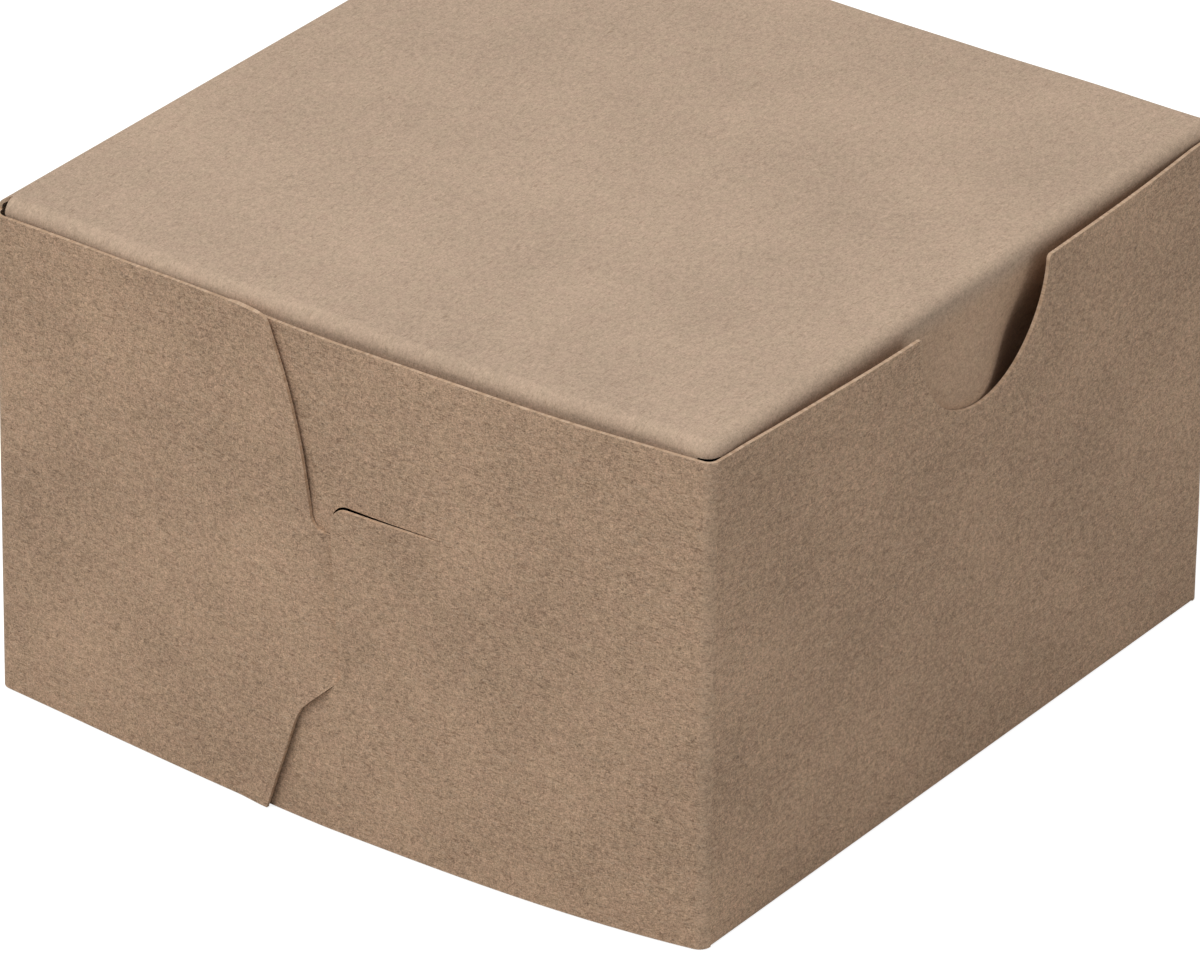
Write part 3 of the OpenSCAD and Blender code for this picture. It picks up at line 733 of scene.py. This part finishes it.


# Kraft face: a base shade (a painted sheen on the lid's panel), pulled a little towards pink or green,
# made lighter and darker by clouds, mottle, grain and specks of falling size, crossed by short light
# and dark fibres in four directions, and a little lighter where it is folded (part wear, part painted
# highlight) or near a cut (wear). A cut face adds thin layers.
def kraftMaterial(name, look, cutFace=False):
    g = Graph(name)
    flat = g.node("ShaderNodeUVMap", {"uv_map": "flat"})
    place = g.node("ShaderNodeVectorMath", {"operation": "SCALE"}, {0: flat, "Scale": 1000.0})
    fold, rim, hang = g.stored("fold"), g.stored("rim"), g.stored("hang")

    clouds = g.noise(place, *noises["clouds"])
    hue = g.noise(g.turned(place, *noises["hueTurn"]), *noises["hue"])
    mottle = g.noise(place, *noises["mottle"])
    grain = g.noise(g.turned(place, *noises["grainTurn"]), *noises["grain"])
    speck = g.noise(place, *noises["speck"])

    light, dark, height, relief = 0.0, 0.0, 0.0, look["relief"]
    for n, (angle, long, thin) in enumerate(look["strands"]):
        spot = g.turned(place, angle, (long, thin, 1.0), [n * shift for shift in look["strandShift"]])
        strand = g.noise(spot, *noises["strand"])
        light = strand.step(*look["lightStrand"]) + light
        dark = (1.0 - strand).step(*look["darkStrand"]) + dark
        height = strand * relief["strand"] + height
    colour = g.mix(hue.step(*look["hueStep"]), look["pink"], look["green"])
    # On the lid, the panel's paler base is painted sheen from the light above; the flaps that hang below take
    # the body's tone
    colour = g.mix(look["hue"], g.mix(hang, look["base"], look["face"]), colour)
    tint = ((clouds - 0.5) * look["cloud"] + (mottle - 0.5) * look["mottle"] + (grain - 0.5) * look["grain"]
            + (speck - 0.5) * look["speck"] + 1.0)
    colour = g.node("ShaderNodeVectorMath", {"operation": "SCALE"}, {0: colour, "Scale": tint})
    colour = g.mix((light * look["fibre"]).calc("MINIMUM", look["most"]), colour, look["light"])
    darkness = dark * (look["fibre"] * look["darkShare"])
    colour = g.mix(darkness.calc("MINIMUM", look["most"]), colour, look["dark"])
    # Lighter along the folds' crowns, part real fold wear and part painted highlight, and lighter near cuts
    # from edge wear
    wearAndHighlight = fold * look["foldWearAndHighlight"] + (1.0 - rim.step(0.0, look["rimRun"])) * look["rimWear"]
    lightenMore, lightenLeast = look["lightenMottle"]
    wearAndHighlight = wearAndHighlight * (mottle * lightenMore + lightenLeast)
    colour = g.mix(wearAndHighlight.calc("MINIMUM", look["lightenMost"]), colour, look["light"])
    if cutFace:
        layers = g.noise(g.turned(place, *noises["layersTurn"]), *noises["layers"])
        layers = g.mix(layers.step(*look["layerStep"]), look["cut"], look["light"])
        colour = g.mix(look["layerShare"], colour, layers)
    shape = height + grain * relief["grain"] + speck * relief["speck"] + mottle * relief["mottle"]
    bump = g.node("ShaderNodeBump", {}, {"Strength": 1.0, "Distance": look["bump"], "Height": shape})
    rough = (grain - 0.5) * look["roughGrain"] + (mottle - 0.5) * look["roughMottle"] + look["rough"]
    shader = g.node("ShaderNodeBsdfPrincipled", {}, {
        "Base Color": colour, "Roughness": rough, "Normal": bump, "Specular IOR Level": look["specular"]})
    g.node("ShaderNodeOutputMaterial", {}, {"Surface": shader})
    return g.material


bodyLook = [kraftMaterial("kraftFace", kraft), kraftMaterial("kraftCut", kraft, cutFace=True)]
lidLook = [kraftMaterial("lidFace", lidKraftSheen), kraftMaterial("lidCut", lidKraftSheen, cutFace=True)]
print("materials ready")
bodyPiece = makeBody(bodyLook)
lidPiece = makeLid(lidLook)
makeCrease(lidLook)
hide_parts("box_body")
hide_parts("lid")

studio = {
    "floor": 6.0, "floorZ": -0.00003, "floorShade": tone(176, 175, 173), "floorGlow": 0.86,
    "sky": 0.4, "skyShade": (0.97, 0.985, 1.0, 1), "aim": (0, 0, 0.03), "lampShade": (1.0, 0.985, 0.96),
    "lamps": [("key", (-0.66, 0.16, 1.22), 0.8, 11.2),      # name, place, size and watts
              ("fill", (0.3, -1.05, 0.42), 0.5, 1.5)],
}


# Floor and sky: plain pale to light, and white to the camera; the floor keeps the box's shadow.
def makeStudio():
    edge, z = studio["floor"], studio["floorZ"]
    mesh = bpy.data.meshes.new("floor")
    corners = [(-edge, -edge, z), (edge, -edge, z), (edge, edge, z), (-edge, edge, z)]
    mesh.from_pydata(corners, [], [(0, 1, 2, 3)])
    floor = bpy.data.objects.new("floor", mesh)
    bpy.context.collection.objects.link(floor)
    g = Graph("paleFloor")
    path = g.node("ShaderNodeLightPath")
    matt = g.node("ShaderNodeBsdfDiffuse", {}, {"Color": studio["floorShade"]})
    glow = g.node("ShaderNodeEmission", {}, {"Color": (1, 1, 1, 1), "Strength": studio["floorGlow"]})
    lit = g.node("ShaderNodeAddShader", {}, [matt, glow])
    shown = g.node("ShaderNodeMixShader", {}, [path, matt, lit])
    g.node("ShaderNodeOutputMaterial", {}, {"Surface": shown})
    mesh.materials.append(g.material)

    world = bpy.data.worlds.new("studio")
    bpy.context.scene.world = world
    world.use_nodes = True
    nodes, links = world.node_tree.nodes, world.node_tree.links
    nodes.clear()
    seen, both = nodes.new("ShaderNodeLightPath"), nodes.new("ShaderNodeMath")
    both.operation = "MAXIMUM"
    links.new(seen.outputs["Is Camera Ray"], both.inputs[0])
    links.new(seen.outputs["Is Glossy Ray"], both.inputs[1])
    pick = nodes.new("ShaderNodeMixShader")
    links.new(both.outputs[0], pick.inputs[0])
    for n, (shade, strength) in enumerate([(studio["skyShade"], studio["sky"]), ((1, 1, 1, 1), 1.0)]):
        light = nodes.new("ShaderNodeBackground")
        light.inputs["Color"].default_value, light.inputs["Strength"].default_value = shade, strength
        links.new(light.outputs[0], pick.inputs[n + 1])
    links.new(pick.outputs[0], nodes.new("ShaderNodeOutputWorld").inputs["Surface"])

    for name, place, size, power in studio["lamps"]:
        lamp = bpy.data.lights.new(name, "AREA")
        lamp.shape, lamp.size, lamp.energy = "DISK", size, power
        lamp.color = studio["lampShade"]
        holder = bpy.data.objects.new(name, lamp)
        holder.location = place
        ahead = Vector(studio["aim"]) - Vector(place)
        holder.rotation_euler = ahead.to_track_quat("-Z", "Y").to_euler()
        bpy.context.collection.objects.link(holder)


view = {
    "sensor": 36.0, "lens": 304.323, "near": 0.05, "far": 20.0,
    "place": (-0.868867, -0.616127, 0.600613), "right": (0.58445, -0.81134, 0.01217),
    "up": (0.3816, 0.28806, 0.8783), "ahead": (0.7161, 0.50868, -0.47796),
}


# Camera: its place and axes from the fit to the photograph's edges.
def makeCamera():
    data = bpy.data.cameras.new("camera")
    data.sensor_width, data.lens = view["sensor"], view["lens"]
    data.clip_start, data.clip_end = view["near"], view["far"]
    camera = bpy.data.objects.new("camera", data)
    turn = Matrix((Vector(view["right"]), Vector(view["up"]), -Vector(view["ahead"]))).transposed()
    camera.matrix_world = Matrix.Translation(view["place"]) @ turn.to_4x4()
    bpy.context.collection.objects.link(camera)
    bpy.context.scene.camera = camera


makeStudio()
makeCamera()
bpy.context.scene.view_settings.view_transform = "Standard"
